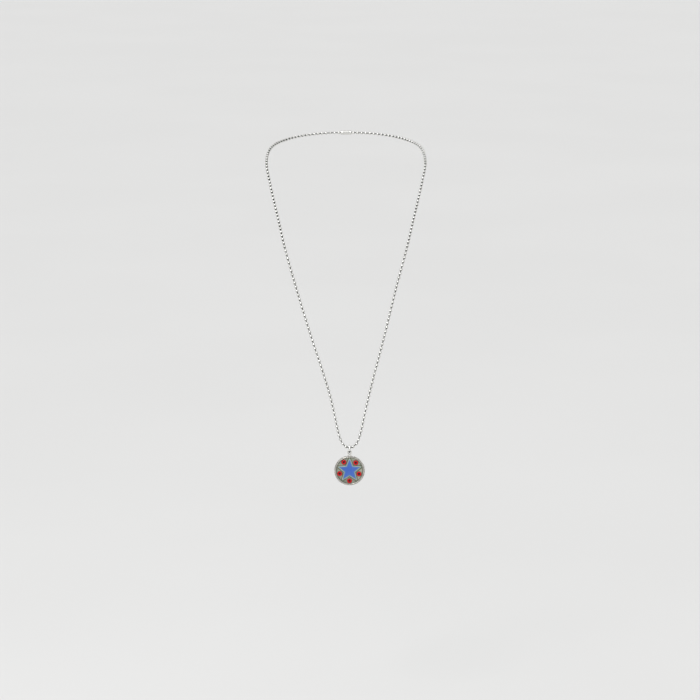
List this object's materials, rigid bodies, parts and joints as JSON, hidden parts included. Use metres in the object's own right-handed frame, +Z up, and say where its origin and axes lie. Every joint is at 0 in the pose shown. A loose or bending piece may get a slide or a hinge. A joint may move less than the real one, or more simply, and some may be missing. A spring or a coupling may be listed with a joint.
{
  "type": "star necklace",
  "caption": "Long ball-chain necklace with a round beaded-edge pendant: a blue star on a grey-green ground between red ring studs.",
  "frame": {"origin": "at the nape, where the clasp lies against the back of the neck", "axes": "+Z up and +Y backwards, so the front faces -Y and the pendant hangs at the front, low on -Z; +X to the right as seen from the front"},
  "size_m": [0.1244, 0.2004, 0.2379],
  "materials": {
    "chain_steel": "plated and polished, dulled between the balls",
    "ring_steel": "polished wire",
    "tray_silver": "polished on the high edges, darkened in the recesses",
    "ground_enamel": "flat enamel, slightly mottled, with dark patina lines round the star",
    "line_enamel": "pale enamel line",
    "star_enamel": "smooth enamel",
    "stud_enamel": "glossy enamel",
    "centre_enamel": "glossy enamel"
  },
  "bodies": {
    "necklace": {"chain_left": "chain_steel", "chain_right": "chain_steel", "clasp": "chain_steel"},
    "ring": {"jump_ring": "ring_steel"},
    "pendant": {"bezel": "tray_silver", "ground": "ground_enamel", "star_line": "line_enamel", "star": "star_enamel", "red_stud_1": "stud_enamel", "red_stud_2": "stud_enamel", "red_stud_3": "stud_enamel", "red_stud_4": "stud_enamel", "red_stud_5": "stud_enamel", "stud_centre_1": "centre_enamel", "stud_centre_2": "centre_enamel", "stud_centre_3": "centre_enamel", "stud_centre_4": "centre_enamel", "stud_centre_5": "centre_enamel"}
  },
  "joints": [
    {"name": "ring_swing", "type": "hinge", "parent": "necklace", "child": "ring", "pos_m": [0.0028, -0.194, -0.208], "axis": [1, 0, 0], "range_deg": [-85, 60]},
    {"name": "pendant_sway", "type": "hinge", "parent": "ring", "child": "pendant", "pos_m": [0.0028, -0.194, -0.21108], "axis": [0, 1, 0], "range_deg": [-60, 60]}
  ]
}
